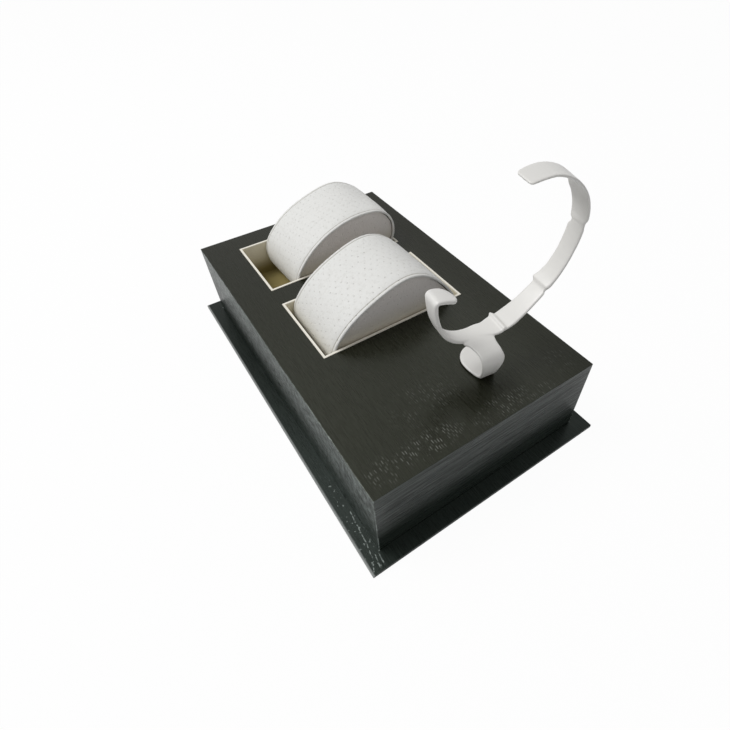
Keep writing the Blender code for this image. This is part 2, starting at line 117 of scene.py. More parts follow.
# Pockets and pillows
POCKET_FLOOR = TRAY_HEIGHT - 22.0 * MM
POCKET_WALL = 42.15 * MM
NEAR_PILLOW_Y = -23.7 * MM
FAR_PILLOW_Y = 40.6 * MM
PILLOW_LENGTH = 46.8 * MM
PROFILE_STEPS = 30
BAND_SKIN = 1.2 * MM
PANEL_RECESS = 1.5 * MM
PANEL_SKIN = 1.4 * MM
LINING_GAP = 0.5 * MM
SEAM_IN = 1.9 * MM
SEAM_HALF = 0.5 * MM
SEAM_DEPTH = 0.34 * MM
SEAM_SHADE = 0.42 * MM
BAND_ROWS = 12
PUFF = 0.45 * MM
PANEL_SWELL = 0.8 * MM
PANEL_RIPPLE = 0.25 * MM
PANEL_SET_BACK = 0.2 * MM
PANEL_LOOPS = (1.0, 0.985, 0.96, 0.92, 0.86, 0.78, 0.68, 0.56, 0.42, 0.28, 0.14)
BULGE_START = 1.3 * MM
BULGE_HEIGHT = 10.0 * MM
PUFF_HEIGHT = 4 * MM
BAND_SHARP_ANGLE = 60.0
PANEL_SHARP_ANGLE = 50.0

PillowEnd = namedtuple("PillowEnd", "half_width arch end crown crown_at crown_spread x top tilt")

NEAR_PILLOW_END = PillowEnd(
    half_width=40.0 * MM, arch=45.4 * MM, end=17.4 * MM,
    crown=5.6 * MM, crown_at=12.1 * MM, crown_spread=18.5 * MM,
    x=1.2 * MM, top=21.5 * MM, tilt=0.0,
)
FAR_PILLOW_NEAR_END = PillowEnd(
    half_width=36.3 * MM, arch=53.9 * MM, end=17.2 * MM,
    crown=0.0, crown_at=20.6 * MM, crown_spread=15.5 * MM,
    x=-1.3 * MM, top=22.8 * MM, tilt=23.0,
)
FAR_PILLOW_FAR_END = PillowEnd(
    half_width=38.9 * MM, arch=49.9 * MM, end=20.0 * MM,
    crown=3.9 * MM, crown_at=20.6 * MM, crown_spread=15.5 * MM,
    x=5.6 * MM, top=22.2 * MM, tilt=11.0,
)

# Watch ring
RING_PLACE = (13.6 * MM, -80.2 * MM, TRAY_HEIGHT)
RING_TURN = -7.5
RING_WIDTH = 8.5 * MM
RING_TOP_THICKNESS = 1.05 * MM
RING_HOOK_THICKNESS = 2.0 * MM
BAND_BACK = 5.5 * MM
HOOK_TIP = (-15.2 * MM, 49.2 * MM)
HOOK_HEADING = 151.5
HOOK_FAR_ROUND = 6.4 * MM
HOOK_NEAR_ROUND = 2.6 * MM
TOP_END_ROUND = 1.7 * MM
RING_ARCS = (
    (8.9 * MM, 20.5),
    (2.2 * MM, 100.0),
    (18.0 * MM, 23.0),
    (23.25 * MM, 72.0),
    (29.85 * MM, 27.0),
    (43.35 * MM, 58.5),
    (11.6 * MM, 30.0),
    (34.1 * MM, 71.0),
)
RING_STEP = 0.7 * MM
RING_BEND_STEP = 6.0
RING_GRAIN = 0.32 * MM
RING_SMOOTHING = 8
ALL_SMOOTH_ANGLE = 180.0
CORNER_STEPS = 4

# Along the band, in mm from the hook's tip: its near and far sides' set-in, and its added inside thickness
BAND_SIDES = (
    (0, -0.9, -0.7, 0.0),
    (8.0, -0.7, -0.6, 0.0),
    (16.0, 0.0, 0.0, 0.0),
    (54.2, 0.0, 0.0, 0.0),
    (57.8, -1.6, 0.8, 0.0),
    (60.5, -2.9, 0.3, 0.0),
    (63.2, -3.1, 0.0, 0.0),
    (64.0, -3.1, -1.8, 1.0),
    (64.9, -3.1, -0.1, 0.8),
    (65.7, -3.1, 0.4, -0.2),
    (69.4, -3.1, 0.3, 0.0),
    (76.7, -2.1, 0.2, 0.0),
    (83.0, -1.2, -0.2, 0.0),
    (88.2, -0.7, -0.3, 0.0),
    (89.0, 0.1, -0.3, 0.0),
    (89.9, 0.1, -0.4, 0.2),
    (90.6, -0.6, -1.9, 1.0),
    (92.4, -0.8, -1.5, 0.7),
    (94.5, -0.7, -1.0, 0.5),
    (98.7, -0.5, -0.4, 0.3),
    (106.0, -0.2, -0.4, 0.1),
    (110.2, 0.0, -0.6, 0.0),
    (119.8, 0.0, -0.8, 0.0),
    (120.7, 0.3, 0.4, 0.0),
    (122.4, 0.4, 0.5, 0.0),
    (123.1, 0.2, -0.6, 0.2),
    (125.1, -0.7, -1.0, 0.0),
    (132.2, -0.5, -1.8, 0.0),
    (138.5, -0.5, -2.3, 0.0),
    (144.8, -0.2, -2.5, 0.0),
    (159.4, 0.0, -2.5, 0.0),
    (165.7, -0.1, -2.0, 0.0),
    (171.3, -0.1, -1.2, 0.0),
)

# Along the band, in mm from the hook's tip: how far its near and far sides are raised outwards
BAND_TWIST = (
    (0, 0.0, 0.0),
    (138.5, 0.0, 0.0),
    (143.7, 0.0, 1.2),
    (152.0, 0.0, 0.9),
    (159.4, 0.0, 0.5),
    (165.7, -0.5, 0.2),
    (171.3, -0.5, 0.1),
)

# Each station of the foot: in front of its plate's near edge, height, left and right edges, in mm
FOOT_PATH = (
    (-9.0, 22.8, -7.0, 2.5),
    (-5.6, 22.9, -10.2, 5.5),
    (-2.8, 23.0, -8.9, 4.6),
    (0.0, 23.0, -8.3, 3.8),
    (2.6, 22.8, -8.0, 3.6),
    (4.8, 21.9, -7.8, 3.7),
    (6.0, 19.8, -7.5, 4.3),
    (6.1, 16.5, -6.9, 4.4),
    (5.0, 12.0, -5.9, 4.2),
    (3.2, 7.4, -4.7, 4.4),
    (1.4, 3.9, -3.7, 5.1),
    (-0.4, 1.8, -3.2, 6.2),
    (-2.6, 1.1, -3.7, 8.4),
    (-5.2, 1.05, -4.4, 12.4),
    (-8.0, 1.05, -5.0, 14.6),
    (-11.0, 1.05, -5.2, 15.2),
)
FOOT_THICKNESS = 1.5 * MM
FOOT_END_LENGTH = 10.2 * MM
FOOT_STEPS = 8
FOOT_END_STEPS = 16


# Camera and light

def make_camera():
    azimuth = math.radians(CAMERA_AZIMUTH)
    elevation = math.radians(CAMERA_ELEVATION)
    roll = math.radians(CAMERA_ROLL)
    back = Vector((
        math.sin(azimuth) * math.cos(elevation),
        -math.cos(azimuth) * math.cos(elevation),
        math.sin(elevation),
    ))
    level = Vector((0, 0, 1)).cross(back).normalized()
    upright = back.cross(level)
    right = level * math.cos(roll) + upright * math.sin(roll)
    up = upright * math.cos(roll) - level * math.sin(roll)
    turned = Matrix((right, up, back)).transposed().to_4x4()
    data = bpy.data.cameras.new("camera")
    data.sensor_width = 36
    data.lens = CAMERA_LENS
    data.shift_x, data.shift_y = CAMERA_SHIFT
    data.clip_start = 0.01
    camera = bpy.data.objects.new("camera", data)
    camera.matrix_world = Matrix.Translation(CAMERA_PLACE) @ turned
    bpy.context.scene.collection.objects.link(camera)
    bpy.context.scene.camera = camera


def make_lamp():
    data = bpy.data.lights.new("overhead", "AREA")
    data.shape = "RECTANGLE"
    data.size = LAMP_SIDE
    data.size_y = LAMP_SIDE
    data.energy = LAMP_POWER
    lamp = bpy.data.objects.new("overhead", data)
    lamp.location = LAMP_PLACE
    aim = Vector(LAMP_TARGET) - Vector(LAMP_PLACE)
    lamp.rotation_mode = "QUATERNION"
    lamp.rotation_quaternion = aim.to_track_quat("-Z", "Y")
    bpy.context.scene.collection.objects.link(lamp)


def seen_directly(tree):
    """One for rays straight from the camera, then one for those and for mirrored or passed-on rays."""
    path = tree.nodes.new("ShaderNodeLightPath")
    total = path.outputs["Is Camera Ray"]
    for name in ("Is Glossy Ray", "Is Transmission Ray"):
        total = math_node(tree, "MAXIMUM", total, path.outputs[name])
    return path.outputs["Is Camera Ray"], total


def mix_shaders(tree, share, first, second, output):
    """Send a mix of two shaders to an output node."""
    mix = tree.nodes.new("ShaderNodeMixShader")
    tree.links.new(share, mix.inputs["Fac"])
    tree.links.new(first, mix.inputs[1])
    tree.links.new(second, mix.inputs[2])
    tree.links.new(mix.outputs["Shader"], tree.nodes[output].inputs["Surface"])


def make_world():
    world = bpy.data.worlds.new("studio")
    bpy.context.scene.world = world
    world.use_nodes = True
    tree = world.node_tree
    background = tree.nodes["Background"]
    background.inputs["Color"].default_value = (1, 1, 1, 1)
    background.inputs["Strength"].default_value = WORLD_STRENGTH
    white = tree.nodes.new("ShaderNodeBackground")
    white.inputs["Color"].default_value = (1, 1, 1, 1)
    white.inputs["Strength"].default_value = 1.0
    _, seen = seen_directly(tree)
    lit, plain = background.outputs["Background"], white.outputs["Background"]
    mix_shaders(tree, seen, lit, plain, "World Output")


def make_floor():
    """Floor that the camera sees almost as plain white, and that the tray mirrors with its shadow."""
    shape = bmesh.new()
    bmesh.ops.create_grid(shape, x_segments=8, y_segments=8, size=FLOOR_REACH)
    mesh = bpy.data.meshes.new("floor")
    shape.to_mesh(mesh)
    shape.free()
    floor = bpy.data.objects.new("floor", mesh)
    floor.location.z = -FLOOR_DROP
    bpy.context.scene.collection.objects.link(floor)
    finish, tree, shader = new_material("floor")
    shader.inputs["Base Color"].default_value = (0.85, 0.85, 0.85, 1)
    shader.inputs["Roughness"].default_value = 0.9
    glow = tree.nodes.new("ShaderNodeEmission")
    glow.inputs["Strength"].default_value = 1.0
    camera, seen = seen_directly(tree)
    share = math_node(tree, "MULTIPLY", camera, FLOOR_SEEN_WHITE - FLOOR_MIRRORED_WHITE)
    share = math_node(tree, "MULTIPLY_ADD", seen, FLOOR_MIRRORED_WHITE, share)
    mix_shaders(tree, share, shader.outputs["BSDF"], glow.outputs["Emission"], "Material Output")
    mesh.materials.append(finish)


# Material helpers

def new_material(name):
    made = bpy.data.materials.new(name)
    made.use_nodes = True
    return made, made.node_tree, made.node_tree.nodes["Principled BSDF"]


def add(tree, kind, **settings):
    made = tree.nodes.new(kind)
    for name, value in settings.items():
        setattr(made, name, value)
    return made


def math_node(tree, operation, first, second=None, third=None, clamp=False):
    """Math node whose inputs are sockets or plain numbers."""
    made = add(tree, "ShaderNodeMath", operation=operation, use_clamp=clamp)
    for slot, value in enumerate((first, second, third)):
        if value is None:
            continue
        if isinstance(value, (int, float)):
            made.inputs[slot].default_value = value
        else:
            tree.links.new(value, made.inputs[slot])
    return made.outputs["Value"]


def spread(tree, value, low, high, out_low=0.0, out_high=1.0):
    """Map a value smoothly from one range onto another."""
    made = add(tree, "ShaderNodeMapRange", interpolation_type="SMOOTHSTEP")
    tree.links.new(value, made.inputs["Value"])
    made.inputs["From Min"].default_value = low
    made.inputs["From Max"].default_value = high
    made.inputs["To Min"].default_value = out_low
    made.inputs["To Max"].default_value = out_high
    return made.outputs["Result"]


def stretched(tree, coordinates, scale):
    made = add(tree, "ShaderNodeVectorMath", operation="MULTIPLY")
    tree.links.new(coordinates, made.inputs[0])
    made.inputs[1].default_value = scale
    return made.outputs["Vector"]


def noise(tree, vector, scale, detail=2.0, roughness=0.5):
    made = add(tree, "ShaderNodeTexNoise")
    tree.links.new(vector, made.inputs["Vector"])
    made.inputs["Scale"].default_value = scale
    made.inputs["Detail"].default_value = detail
    made.inputs["Roughness"].default_value = roughness
    return made.outputs["Fac"]


def mixed_colour(tree, share, first, second):
    """Mix of two colours, each a socket or a plain colour."""
    made = add(tree, "ShaderNodeMix", data_type="RGBA")
    tree.links.new(share, made.inputs["Factor"])
    for slot, value in ((6, first), (7, second)):
        if isinstance(value, tuple):
            made.inputs[slot].default_value = (*value, 1.0)
        else:
            tree.links.new(value, made.inputs[slot])
    return made.outputs[2]


def bump(tree, shader, height, depth, strength=1.0):
    made = add(tree, "ShaderNodeBump")
    made.inputs["Strength"].default_value = strength
    made.inputs["Distance"].default_value = depth
    tree.links.new(height, made.inputs["Height"])
    tree.links.new(made.outputs["Normal"], shader.inputs["Normal"])


def axes(tree, vector):
    """X, Y and Z of a vector."""
    parts = add(tree, "ShaderNodeSeparateXYZ")
    tree.links.new(vector, parts.inputs["Vector"])
    return parts.outputs["X"], parts.outputs["Y"], parts.outputs["Z"]


def position(tree):
    """Object coordinates as a vector and as X, Y and Z."""
    place = add(tree, "ShaderNodeTexCoord").outputs["Object"]
    return place, *axes(tree, place)


def facing(tree):
    """The face's own direction as X, Y and Z."""
    return axes(tree, add(tree, "ShaderNodeNewGeometry").outputs["True Normal"])


def product(tree, first, *others):
    for other in others:
        first = math_node(tree, "MULTIPLY", first, other)
    return first


def slant(tree, first, second):
    """Length of the slanting side over two sides that meet at a right angle."""
    square = math_node(tree, "MULTIPLY", second, second)
    return math_node(tree, "SQRT", math_node(tree, "MULTIPLY_ADD", first, first, square))


def near_value(tree, value, target, soft):
    """One where a value is at its target or its mirror, nought further off than soft."""
    off = math_node(tree, "SUBTRACT", math_node(tree, "ABSOLUTE", value), target)
    return spread(tree, math_node(tree, "ABSOLUTE", off), soft, soft * 0.3)


# Black paper embossed with a wood grain

def oval_patch(tree, x, y, centre_x, centre_y, half_width, half_length):
    """One at the middle of an oval patch, falling to nought at its edge."""
    across = math_node(tree, "DIVIDE", math_node(tree, "SUBTRACT", x, centre_x), half_width)
    along = math_node(tree, "DIVIDE", math_node(tree, "SUBTRACT", y, centre_y), half_length)
    square = math_node(tree, "MULTIPLY_ADD", across, across, math_node(tree, "MULTIPLY", along, along))
    return spread(tree, square, 1.3, 0.1)


def stroke(tree, x, y, first, last, width):
    """One on a thin straight stroke between two points, nought beside it."""
    along_x = last[0] - first[0]
    along_y = last[1] - first[1]
    square = along_x ** 2 + along_y ** 2
    from_x = math_node(tree, "SUBTRACT", x, first[0])
    from_y = math_node(tree, "SUBTRACT", y, first[1])
    share = math_node(tree, "MULTIPLY", from_x, along_x / square)
    share = math_node(tree, "MULTIPLY_ADD", from_y, along_y / square, share, clamp=True)
    off_x = math_node(tree, "MULTIPLY_ADD", share, -along_x, from_x)
    off_y = math_node(tree, "MULTIPLY_ADD", share, -along_y, from_y)
    return spread(tree, slant(tree, off_x, off_y), width, width * 0.3)


def grain_direction(tree, place, on_end):
    """Coordinates drawn out along the grain: along the tray, but across it on its two ends."""
    turned = add(tree, "ShaderNodeMix", data_type="VECTOR")
    tree.links.new(on_end, turned.inputs["Factor"])
    tree.links.new(stretched(tree, place, (1.0, 0.09, 1.0)), turned.inputs[4])
    tree.links.new(stretched(tree, place, (0.03, 1.0, 1.0)), turned.inputs[5])
    return turned.outputs[1]


def white_noise(tree, x, y=None):
    """Random value for each whole number, or for each pair of them."""
    made = add(tree, "ShaderNodeTexWhiteNoise", noise_dimensions="2D")
    pair = add(tree, "ShaderNodeCombineXYZ")
    tree.links.new(x, pair.inputs["X"])
    if y is not None:
        tree.links.new(y, pair.inputs["Y"])
    tree.links.new(pair.outputs["Vector"], made.inputs["Vector"])
    return made.outputs["Value"]


def off_centre(tree, steps, size):
    """Distance from the middle of the cell that a value lies in, where a cell is one step long."""
    off = math_node(tree, "SUBTRACT", math_node(tree, "FRACT", steps), 0.5)
    return math_node(tree, "MULTIPLY", math_node(tree, "ABSOLUTE", off), size)


def painted_glint_dashes(tree, place, x, y, on_top):
    """Painted glints: thin pale dashes along the grain, in patches near the front edge."""
    wander = math_node(tree, "MULTIPLY_ADD", noise(tree, place, 90.0, 2.0), PORE_WANDER, x)
    columns = math_node(tree, "DIVIDE", wander, PORE_COLUMN)
    column = math_node(tree, "FLOOR", columns)
    rows = math_node(tree, "ADD", math_node(tree, "DIVIDE", y, PORE_ROW), white_noise(tree, column))
    chance = white_noise(tree, column, math_node(tree, "FLOOR", rows))
    thin = spread(tree, off_centre(tree, columns, PORE_COLUMN), PORE_WIDTH, 0.08 * MM)
    long = spread(tree, off_centre(tree, rows, PORE_ROW), PORE_LENGTH, 0.5 * MM)
    kept = spread(tree, chance, 0.1, 0.75)
    pale_share = None
    for centre_x, centre_y, half_width, half_length, strength in GLINT_PATCHES:
        patch = oval_patch(tree, x, y, centre_x, centre_y, half_width, half_length)
        patch = math_node(tree, "MULTIPLY", patch, strength)
        pale_share = patch if pale_share is None else math_node(tree, "MAXIMUM", pale_share, patch)
    uneven = spread(tree, noise(tree, place, 150.0, 3.0, 0.6), 0.36, 0.54)
    return product(tree, thin, long, kept, pale_share, uneven, on_top)


def fold_scuffs(tree, place, x, y, z):
    """Pale broken lines on the base where its paper is folded and lifts."""
    wander = math_node(tree, "SUBTRACT", noise(tree, place, 160.0, 2.0), 0.5)
    bent = math_node(tree, "MULTIPLY_ADD", wander, SCUFF_WANDER, x)
    lines = None
    for first, last in FOLD_SCUFFS:
        line = stroke(tree, bent, y, first, last, SCUFF_WIDTH)
        lines = line if lines is None else math_node(tree, "MAXIMUM", lines, line)
    broken = spread(tree, noise(tree, place, 800.0, 3.0, 0.7), 0.46, 0.56, 0.0, 0.9)
    specks = spread(tree, noise(tree, place, 620.0, 1.0), 0.66, 0.72)
    along_left = oval_patch(tree, x, y, -HALF_WIDTH - LEDGE / 2, -85.0 * MM, LEDGE / 2, 32.0 * MM)
    specks = product(tree, specks, along_left, 0.8)
    low = spread(tree, z, BASE_TOP + 0.6 * MM, BASE_TOP + 0.3 * MM)
    lines = math_node(tree, "MULTIPLY", lines, broken)
    return math_node(tree, "MULTIPLY", math_node(tree, "MAXIMUM", lines, specks), low)


def pale_edges(tree, place, x, y, z, clouds):
    """Pale lines along the body's folds: on its upright corners and, more faintly, a painted highlight
    along its long top edges.
    """
    at_side = near_value(tree, x, HALF_WIDTH, PALE_EDGE_WIDTH)
    at_end = near_value(tree, y, HALF_LENGTH, PALE_EDGE_WIDTH)
    at_top = spread(tree, z, TRAY_HEIGHT - 0.9 * MM, TRAY_HEIGHT - 0.2 * MM)
    corner = math_node(tree, "MULTIPLY", at_side, at_end)
    top_edge = product(tree, at_side, at_top, spread(tree, clouds, 0.35, 0.60, 0.15, 0.6))
    uneven = spread(tree, noise(tree, place, 320.0, 4.0, 0.7), 0.40, 0.60, 0.12, 1.0)
    return math_node(tree, "MULTIPLY", math_node(tree, "MAXIMUM", corner, top_edge), uneven)


def paper_sheen(tree, x, y, grain_place, mottling, under_edge, on_left, on_top):
    """Gloss of the paper, whose pressed pores are duller than the ridges between them."""
    pores = spread(tree, noise(tree, grain_place, 1500.0, 3.0, 0.6), 0.40, 0.60)
    blotches = math_node(tree, "MULTIPLY_ADD", mottling, 0.70, 0.18)
    blotches = product(tree, blotches, math_node(tree, "MULTIPLY_ADD", under_edge, 0.55, 0.75))
    duller = math_node(tree, "SUBTRACT", blotches, 1.0)
    left_share = math_node(tree, "MULTIPLY_ADD", on_left, duller, 1.0)
    sheen_side = product(tree, spread(tree, pores, 0.0, 1.0, 0.22, 0.80), left_share)
    duller_far = spread(tree, y, -60.0 * MM, 100.0 * MM, 1.0, 0.52)
    duller_right = spread(tree, x, 30.0 * MM, 60.0 * MM, 1.0, 0.66)
    sheen_top = product(tree, spread(tree, pores, 0.0, 1.0, 0.32, 0.37), duller_far, duller_right)
    sheen = add(tree, "ShaderNodeMix", data_type="FLOAT")
    tree.links.new(on_top, sheen.inputs["Factor"])
    tree.links.new(sheen_side, sheen.inputs[2])
    tree.links.new(sheen_top, sheen.inputs[3])
    return sheen.outputs[0]


def paper_material():
    made, tree, shader = new_material("black_paper")
    place, x, y, z = position(tree)
    face_x, face_y, face_z = facing(tree)
    on_end = math_node(tree, "GREATER_THAN", math_node(tree, "ABSOLUTE", face_y), FACING_SHARE)
    on_left = math_node(tree, "LESS_THAN", face_x, -FACING_SHARE)
    on_top = math_node(tree, "GREATER_THAN", face_z, FACING_SHARE)
    high = math_node(tree, "GREATER_THAN", z, TRAY_HEIGHT - 1.0 * MM)

    grain_place = grain_direction(tree, place, on_end)
    fibres = noise(tree, grain_place, 1300.0, 3.0, 0.6)
    broad = noise(tree, grain_place, 260.0, 3.0, 0.6)
    clouds = noise(tree, place, 30.0, 2.0)

    top_tone = mixed_colour(tree, clouds, (0.0065, 0.0070, 0.0030), (0.0095, 0.0100, 0.0055))
    side_tone = mixed_colour(tree, broad, (0.0030, 0.0050, 0.0035), (0.0060, 0.0090, 0.0068))
    on_lid = math_node(tree, "MULTIPLY", on_top, high)
    tone = mixed_colour(tree, on_lid, side_tone, top_tone)
    glint_dash = painted_glint_dashes(tree, place, x, y, on_lid)
    # Painted highlight: pale dashes where the pores catch the light near the front edge
    tone = mixed_colour(tree, glint_dash, tone, (0.15, 0.155, 0.14))

    pale_share = pale_edges(tree, place, x, y, z, clouds)
    # Pale lines on the upright corners, and a painted highlight along the long top edges
    tone = mixed_colour(tree, pale_share, tone, (0.30, 0.34, 0.32))

    # The left side gets painted sheen: a mottled paler tone, strongest towards its top, that stands in for
    # its reflection; the base's rounded rim gets a pale painted highlight
    mottled_place = stretched(tree, place, (1.0, 1.2, 0.5))
    mottling = spread(tree, noise(tree, mottled_place, 420.0, 4.0, 0.7), 0.38, 0.66)
    under_edge = spread(tree, z, TRAY_HEIGHT - 38.0 * MM, TRAY_HEIGHT - 0.5 * MM)
    tone = mixed_colour(tree, product(tree, on_left, mottling, under_edge), tone, (0.080, 0.108, 0.094))
    # Painted highlight along the rounded outer rim of the base
    base_rim = -HALF_WIDTH - LEDGE
    rim_highlight = spread(tree, x, base_rim + 1.3 * MM, base_rim + 0.5 * MM)
    tone = mixed_colour(tree, rim_highlight, tone, (0.26, 0.27, 0.265))
    tone = mixed_colour(tree, fold_scuffs(tree, place, x, y, z), tone, (0.34, 0.38, 0.36))
    tree.links.new(tone, shader.inputs["Base Color"])

    sheen = paper_sheen(tree, x, y, grain_place, mottling, under_edge, on_left, on_top)
    tree.links.new(sheen, shader.inputs["Specular IOR Level"])
    tint = mixed_colour(tree, on_lid, (0.86, 1.0, 0.93), (0.95, 1.0, 0.86))
    tree.links.new(tint, shader.inputs["Specular Tint"])
    tree.links.new(spread(tree, fibres, 0.3, 0.7, 0.24, 0.36), shader.inputs["Roughness"])
    depth = math_node(tree, "MULTIPLY_ADD", on_top, -0.8, 1.0)
    height = math_node(tree, "MULTIPLY", fibres, depth)
    lumps = math_node(tree, "MULTIPLY", mottling, on_left)
    height = math_node(tree, "MULTIPLY_ADD", lumps, 0.9, height)
    bump(tree, shader, height, 0.12 * MM, 0.7)
    return made


def greyboard_material():
    made, tree, shader = new_material("greyboard")
    place, *_ = position(tree)
    flecks = noise(tree, place, 900.0, 4.0, 0.7)
    clouds = noise(tree, place, 60.0, 3.0)
    tone = mixed_colour(tree, clouds, (0.30, 0.27, 0.23), (0.40, 0.37, 0.32))
    tone = mixed_colour(tree, spread(tree, flecks, 0.6, 0.7), tone, (0.18, 0.16, 0.13))
    tree.links.new(tone, shader.inputs["Base Color"])
    shader.inputs["Roughness"].default_value = 0.92
    bump(tree, shader, flecks, 0.1 * MM)
    return made


def card_material():
    """Ivory card: its cut rim is nearly white, its face inside the pockets is creamy yellow, with painted
    shade that darkens it towards the pocket floor.
    """
    made, tree, shader = new_material("ivory_card")
    place, _, _, z = position(tree)
    fibres = noise(tree, place, 700.0, 3.0, 0.6)
    clouds = noise(tree, place, 45.0, 2.0)
    inside = mixed_colour(tree, clouds, (0.78, 0.72, 0.56), (0.86, 0.81, 0.66))
    rim = mixed_colour(tree, fibres, (0.86, 0.82, 0.72), (0.93, 0.90, 0.81))
    # Painted shade: dark olive deep in the pocket, fading out towards the rim
    low = mixed_colour(tree, clouds, (0.25, 0.20, 0.065), (0.32, 0.265, 0.11))
    upwards = spread(tree, z, POCKET_FLOOR + 2 * MM, TRAY_HEIGHT - 8 * MM)
    inside = mixed_colour(tree, upwards, low, inside)
    at_rim = spread(tree, z, TRAY_HEIGHT - 0.4 * MM, TRAY_HEIGHT + 0.1 * MM)
    tree.links.new(mixed_colour(tree, at_rim, inside, rim), shader.inputs["Base Color"])
    shader.inputs["Roughness"].default_value = 0.75
    bump(tree, shader, fibres, 0.08 * MM)
    return made


def foam_material():
    made, tree, shader = new_material("foam")
    place, *_ = position(tree)
    cells = add(tree, "ShaderNodeTexVoronoi")
    tree.links.new(place, cells.inputs["Vector"])
    cells.inputs["Scale"].default_value = 900.0
    tone = mixed_colour(tree, cells.outputs["Distance"], (0.55, 0.50, 0.36), (0.80, 0.76, 0.62))
    tree.links.new(tone, shader.inputs["Base Color"])
    shader.inputs["Roughness"].default_value = 0.95
    bump(tree, shader, cells.outputs["Distance"], 0.5 * MM)
    return made


def dimples(tree, place, along, across):
    """Small pits in rows, every second row set off by half a space, and here and there worn away."""
    row = math_node(tree, "DIVIDE", across, DIMPLE_ROW)
    odd = math_node(tree, "MODULO", math_node(tree, "ABSOLUTE", math_node(tree, "FLOOR", row)), 2.0)
    column = math_node(tree, "DIVIDE", along, DIMPLE_COLUMN)
    column = math_node(tree, "MULTIPLY_ADD", odd, 0.5, column)
    distance = slant(tree, off_centre(tree, row, DIMPLE_ROW), off_centre(tree, column, DIMPLE_COLUMN))
    pits = spread(tree, distance, DIMPLE_SIZE, DIMPLE_SIZE * 0.3)
    worn_away = spread(tree, noise(tree, place, 240.0, 3.0, 0.6), 0.40, 0.60, 0.2, 1.0)
    return math_node(tree, "MULTIPLY", pits, worn_away)


def leatherette_material():
    """White leatherette pressed with a lattice of small dimples over a fine grain."""
    made, tree, shader = new_material("white_leatherette")
    place, _, _, height_here = position(tree)
    surface = add(tree, "ShaderNodeAttribute", attribute_name="surface").outputs["Vector"]
    along, across, on_band = axes(tree, surface)
    dimple = dimples(tree, place, along, across)
    grain = add(tree, "ShaderNodeTexVoronoi", feature="SMOOTH_F1")
    tree.links.new(place, grain.inputs["Vector"])
    grain.inputs["Scale"].default_value = 1300.0
    creases = noise(tree, place, 420.0, 4.0, 0.65)
    clouds = noise(tree, place, 30.0, 3.0)
    tone = mixed_colour(tree, clouds, (0.770, 0.770, 0.748), (0.815, 0.815, 0.795))
    # Painted shade darkens the dimples' pits and, a little, the creases
    tone = mixed_colour(tree, math_node(tree, "MULTIPLY", dimple, 0.48), tone, (0.47, 0.46, 0.42))
    tone = mixed_colour(tree, spread(tree, creases, 0.50, 0.66, 0.0, 0.16), tone, (0.52, 0.51, 0.46))
    from_middle = math_node(tree, "SUBTRACT", across, PILLOW_LENGTH / 2)
    seam = near_value(tree, from_middle, PILLOW_LENGTH / 2 - SEAM_IN, SEAM_SHADE)
    tone = mixed_colour(tree, product(tree, seam, on_band, 0.6), tone, (0.40, 0.38, 0.31))
    # Painted bounce light: the side panels are warmer and paler than the band
    panel_painted_bounce = math_node(tree, "MULTIPLY_ADD", on_band, -0.7, 0.7)
    tone = mixed_colour(tree, panel_painted_bounce, tone, (0.84, 0.79, 0.76))
    # Painted shade and yellow bounce light: darker and yellower towards the pocket, mostly on the side
    # panels
    low = spread(tree, height_here, TRAY_HEIGHT + 14 * MM, TRAY_HEIGHT - 4 * MM, 0.0, 0.85)
    low = math_node(tree, "MULTIPLY", low, math_node(tree, "MULTIPLY_ADD", on_band, -0.9, 1.0))
    tone = mixed_colour(tree, low, tone, (0.66, 0.61, 0.48))
    tree.links.new(tone, shader.inputs["Base Color"])
    tree.links.new(spread(tree, creases, 0.3, 0.7, 0.46, 0.60), shader.inputs["Roughness"])
    shader.inputs["Specular IOR Level"].default_value = 0.35
    pebbles = math_node(tree, "MULTIPLY", grain.outputs["Distance"], 0.35)
    height = math_node(tree, "SUBTRACT", pebbles, dimple)
    height = math_node(tree, "MULTIPLY_ADD", creases, 0.9, height)
    bump(tree, shader, height, 0.26 * MM, 0.9)
    return made


def plastic_material():
    """Warm white moulded plastic with a soft gloss and faint handling marks."""
    made, tree, shader = new_material("white_plastic")
    place, *_ = position(tree)
    marks = noise(tree, stretched(tree, place, (1.0, 1.0, 0.35)), 160.0, 4.0, 0.6)
    clouds = noise(tree, place, 35.0, 2.0)
    tone = mixed_colour(tree, clouds, (0.765, 0.755, 0.725), (0.80, 0.79, 0.765))
    tree.links.new(tone, shader.inputs["Base Color"])
    tree.links.new(spread(tree, marks, 0.3, 0.7, 0.30, 0.44), shader.inputs["Roughness"])
    bump(tree, shader, marks, 0.06 * MM, 0.5)
    return made


# Meshes

def link_mesh(name, shape, finish, smooth_angle):
    """Make an object of a mesh whose edges look sharp where they bend by more than an angle."""
    bmesh.ops.recalc_face_normals(shape, faces=shape.faces)
    mesh = bpy.data.meshes.new(name)
    shape.to_mesh(mesh)
    shape.free()
    mesh.materials.append(finish)
    mesh.shade_smooth()
    mesh.set_sharp_from_angle(angle=math.radians(smooth_angle))
    item = bpy.data.objects.new(name, mesh)
    bpy.context.scene.collection.objects.link(item)
    return item


def bridge(shape, loops, closed_loop):
    """Faces between loops of equal count, with flat ends or joined into a closed band."""
    rings = [[shape.verts.new(point) for point in loop] for loop in loops]
    count = len(loops[0])
    pairs = list(zip(rings, rings[1:]))
    if closed_loop:
        pairs.append((rings[-1], rings[0]))
    else:
        shape.faces.new(list(reversed(rings[0])))
        shape.faces.new(rings[-1])
    for first, second in pairs:
        for i in range(count):
            j = (i + 1) % count
            shape.faces.new((first[i], first[j], second[j], second[i]))


# Pillows

def arc(centre_x, centre_z, radius, first, last, steps):
    """Points of an arc with their outward directions, as X, Z, direction X and direction Z."""
    points = []
    for i in range(steps + 1):
        angle = first + (last - first) * i / steps
        across = math.cos(angle)
        up = math.sin(angle)
        points.append((centre_x + radius * across, centre_z + radius * up, across, up))
    return points


